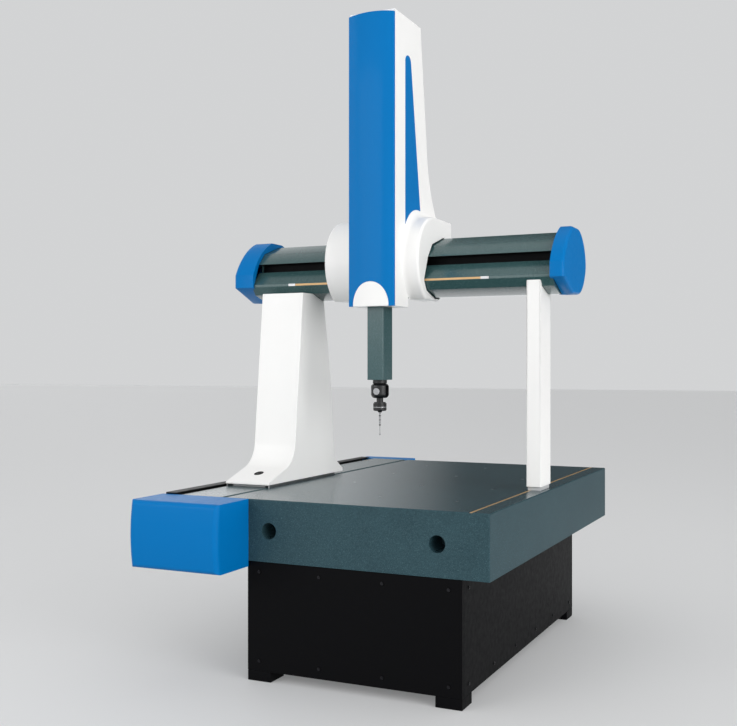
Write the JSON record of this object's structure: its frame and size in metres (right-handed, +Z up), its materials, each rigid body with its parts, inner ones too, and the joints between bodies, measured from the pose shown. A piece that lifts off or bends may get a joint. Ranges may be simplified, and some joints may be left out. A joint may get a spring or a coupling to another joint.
{
  "type": "coordinate measuring machine",
  "caption": "Moving-bridge coordinate measuring machine: granite table on a stand, guided bridge, carriage, vertical ram, tilting probe head and stylus.",
  "frame": {"origin": "on the floor, under the middle of the machine's footprint", "axes": "+X to the right along the cross beam as seen from the front, +Y from the front to the back along the table's guide, +Z up along the ram"},
  "size_m": [1.836, 2.5619, 3.181],
  "materials": {
    "granite": "polished",
    "beam_stone": "polished",
    "ram_stone": "polished",
    "white_paint": "satin",
    "blue_paint": "gloss",
    "black_paint": "satin",
    "pad_metal": "satin",
    "casting": "satin",
    "steel": "brushed",
    "polished": "polished",
    "tube_metal": "satin",
    "motor_metal": "satin",
    "pulley_metal": "machined",
    "belt_rubber": "matt",
    "pad_rubber": "matt",
    "gold_tape": "satin",
    "head_black": "satin"
  },
  "bodies": {
    "base": {"levelling_feet": "black_paint", "stand_frame": "black_paint", "front_panel": "black_paint", "rear_panel": "black_paint", "left_panel": "black_paint", "right_panel": "black_paint", "support_pads": "pad_rubber", "granite_table": "granite", "threaded_inserts": "steel", "track_strip": "gold_tape", "guide_rail": "granite", "rail_brackets": "steel", "belt_guard": "black_paint", "y_scale_tape": "gold_tape", "y_belt": "belt_rubber", "y_idler_bracket": "steel", "y_motor": "motor_metal", "front_cover": "blue_paint", "rear_cover": "blue_paint"},
    "y_driver": {"y_drive_pulley": "pulley_metal"},
    "y_idler": {"y_idler_pulley": "pulley_metal"},
    "bridge": {"drive_leg": "white_paint", "bridge_air_pads": "pad_metal", "leg_skirts": "casting", "support_leg": "white_paint", "cross_beam": "beam_stone", "x_scale_tape": "gold_tape", "left_end_cap": "blue_paint", "right_end_cap": "blue_paint", "x_belt": "belt_rubber", "x_motor": "motor_metal", "x_idler_bracket": "steel"},
    "x_driver": {"x_drive_pulley": "pulley_metal"},
    "x_idler": {"x_idler_pulley": "pulley_metal"},
    "carriage": {"left_sleeve": "white_paint", "right_sleeve": "white_paint", "carriage_frame": "casting", "carriage_air_pads": "pad_metal", "column_shell": "white_paint", "column_front": "blue_paint", "column_nose": "white_paint", "column_stripes": "blue_paint", "ram_air_pads": "pad_metal", "column_spine": "casting", "z_belt": "belt_rubber", "z_motor": "motor_metal", "counterbalance_cylinder": "tube_metal"},
    "z_driver": {"z_drive_pulley": "pulley_metal"},
    "z_idler": {"z_idler_pulley": "pulley_metal"},
    "quill": {"ram": "ram_stone", "ram_top_clamp": "casting", "counterbalance_rod": "polished", "head_mount": "casting"},
    "head": {"head_yoke": "head_black"},
    "knuckle": {"head_knuckle": "head_black", "knuckle_pin": "steel", "touch_probe": "head_black"},
    "tip": {"stylus": "steel"}
  },
  "joints": [
    {"name": "bridge_y", "type": "slide", "parent": "base", "child": "bridge", "axis": [0, 1, 0], "range_m": [-0.33, 0.87]},
    {"name": "carriage_x", "type": "slide", "parent": "bridge", "child": "carriage", "axis": [1, 0, 0], "range_m": [-0.122, 0.519]},
    {"name": "ram_z", "type": "slide", "parent": "carriage", "child": "quill", "axis": [0, 0, 1], "range_m": [-0.245, 0.355]},
    {"name": "head_turn", "type": "hinge", "parent": "quill", "child": "head", "pos_m": [-0.006, -0.2755, 1.294], "axis": [0, 0, 1], "range_deg": [-180, 180]},
    {"name": "head_tilt", "type": "hinge", "parent": "head", "child": "knuckle", "pos_m": [-0.006, -0.2755, 1.294], "axis": [0, -1, 0], "range_deg": [0, 105]},
    {"name": "stylus_tilt", "type": "hinge", "parent": "knuckle", "child": "tip", "pos_m": [-0.006, -0.2755, 1.1827], "axis": [1, 0, 0], "range_deg": [-12, 12], "stiffness_Nm_per_rad": 0.4},
    {"name": "y_drive_turn", "type": "hinge", "parent": "base", "child": "y_driver", "pos_m": [-0.755, 1.191, 0.76], "axis": [1, 0, 0], "continuous": true},
    {"name": "y_idler_turn", "type": "hinge", "parent": "base", "child": "y_idler", "pos_m": [-0.755, -1.079, 0.76], "axis": [1, 0, 0], "continuous": true},
    {"name": "x_drive_turn", "type": "hinge", "parent": "bridge", "child": "x_driver", "pos_m": [-0.856, 0.104, 1.941], "axis": [0, 1, 0], "continuous": true},
    {"name": "x_idler_turn", "type": "hinge", "parent": "bridge", "child": "x_idler", "pos_m": [0.878, 0.104, 1.941], "axis": [0, 1, 0], "continuous": true},
    {"name": "z_drive_turn", "type": "hinge", "parent": "carriage", "child": "z_driver", "pos_m": [-0.006, -0.1593, 2.4], "axis": [1, 0, 0], "continuous": true},
    {"name": "z_idler_turn", "type": "hinge", "parent": "carriage", "child": "z_idler", "pos_m": [-0.006, -0.1593, 3.112], "axis": [1, 0, 0], "continuous": true}
  ],
  "couplings": [
    {"joint": "y_drive_turn", "follows": "bridge_y", "rad_per_m": -31.447},
    {"joint": "y_idler_turn", "follows": "bridge_y", "rad_per_m": -31.447},
    {"joint": "x_drive_turn", "follows": "carriage_x", "rad_per_m": 38.76},
    {"joint": "x_idler_turn", "follows": "carriage_x", "rad_per_m": 38.76},
    {"joint": "z_drive_turn", "follows": "ram_z", "rad_per_m": -45.872},
    {"joint": "z_idler_turn", "follows": "ram_z", "rad_per_m": -45.872}
  ]
}
